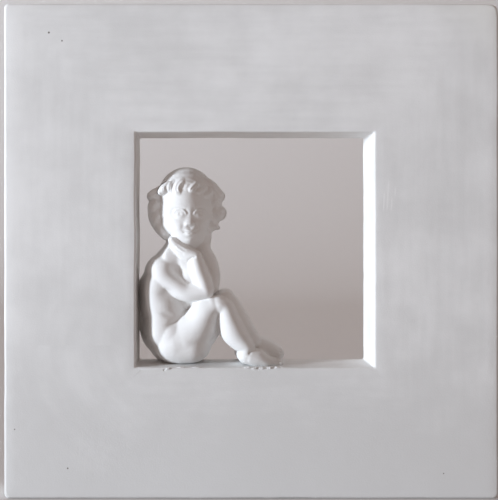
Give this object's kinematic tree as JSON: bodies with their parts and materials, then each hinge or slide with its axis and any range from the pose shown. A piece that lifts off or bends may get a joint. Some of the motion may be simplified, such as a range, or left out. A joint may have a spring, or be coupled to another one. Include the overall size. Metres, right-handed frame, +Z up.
{
  "type": "cherub wall plaque",
  "caption": "Square plaster wall plaque: a thick plain frame round an open square window, with a seated cherub in relief leaning on its knee inside the window's lower left corner.",
  "frame": {"origin": "middle of the top bar's flat back, where the plaque is fixed to a wall", "axes": "+X to the right seen from the front, +Y into the wall (the front faces -Y), +Z up"},
  "size_m": [0.2, 0.0207, 0.2],
  "materials": {
    "plaster": "matte"
  },
  "bodies": {
    "root": {"plaque": "plaster"}
  },
  "joints": []
}
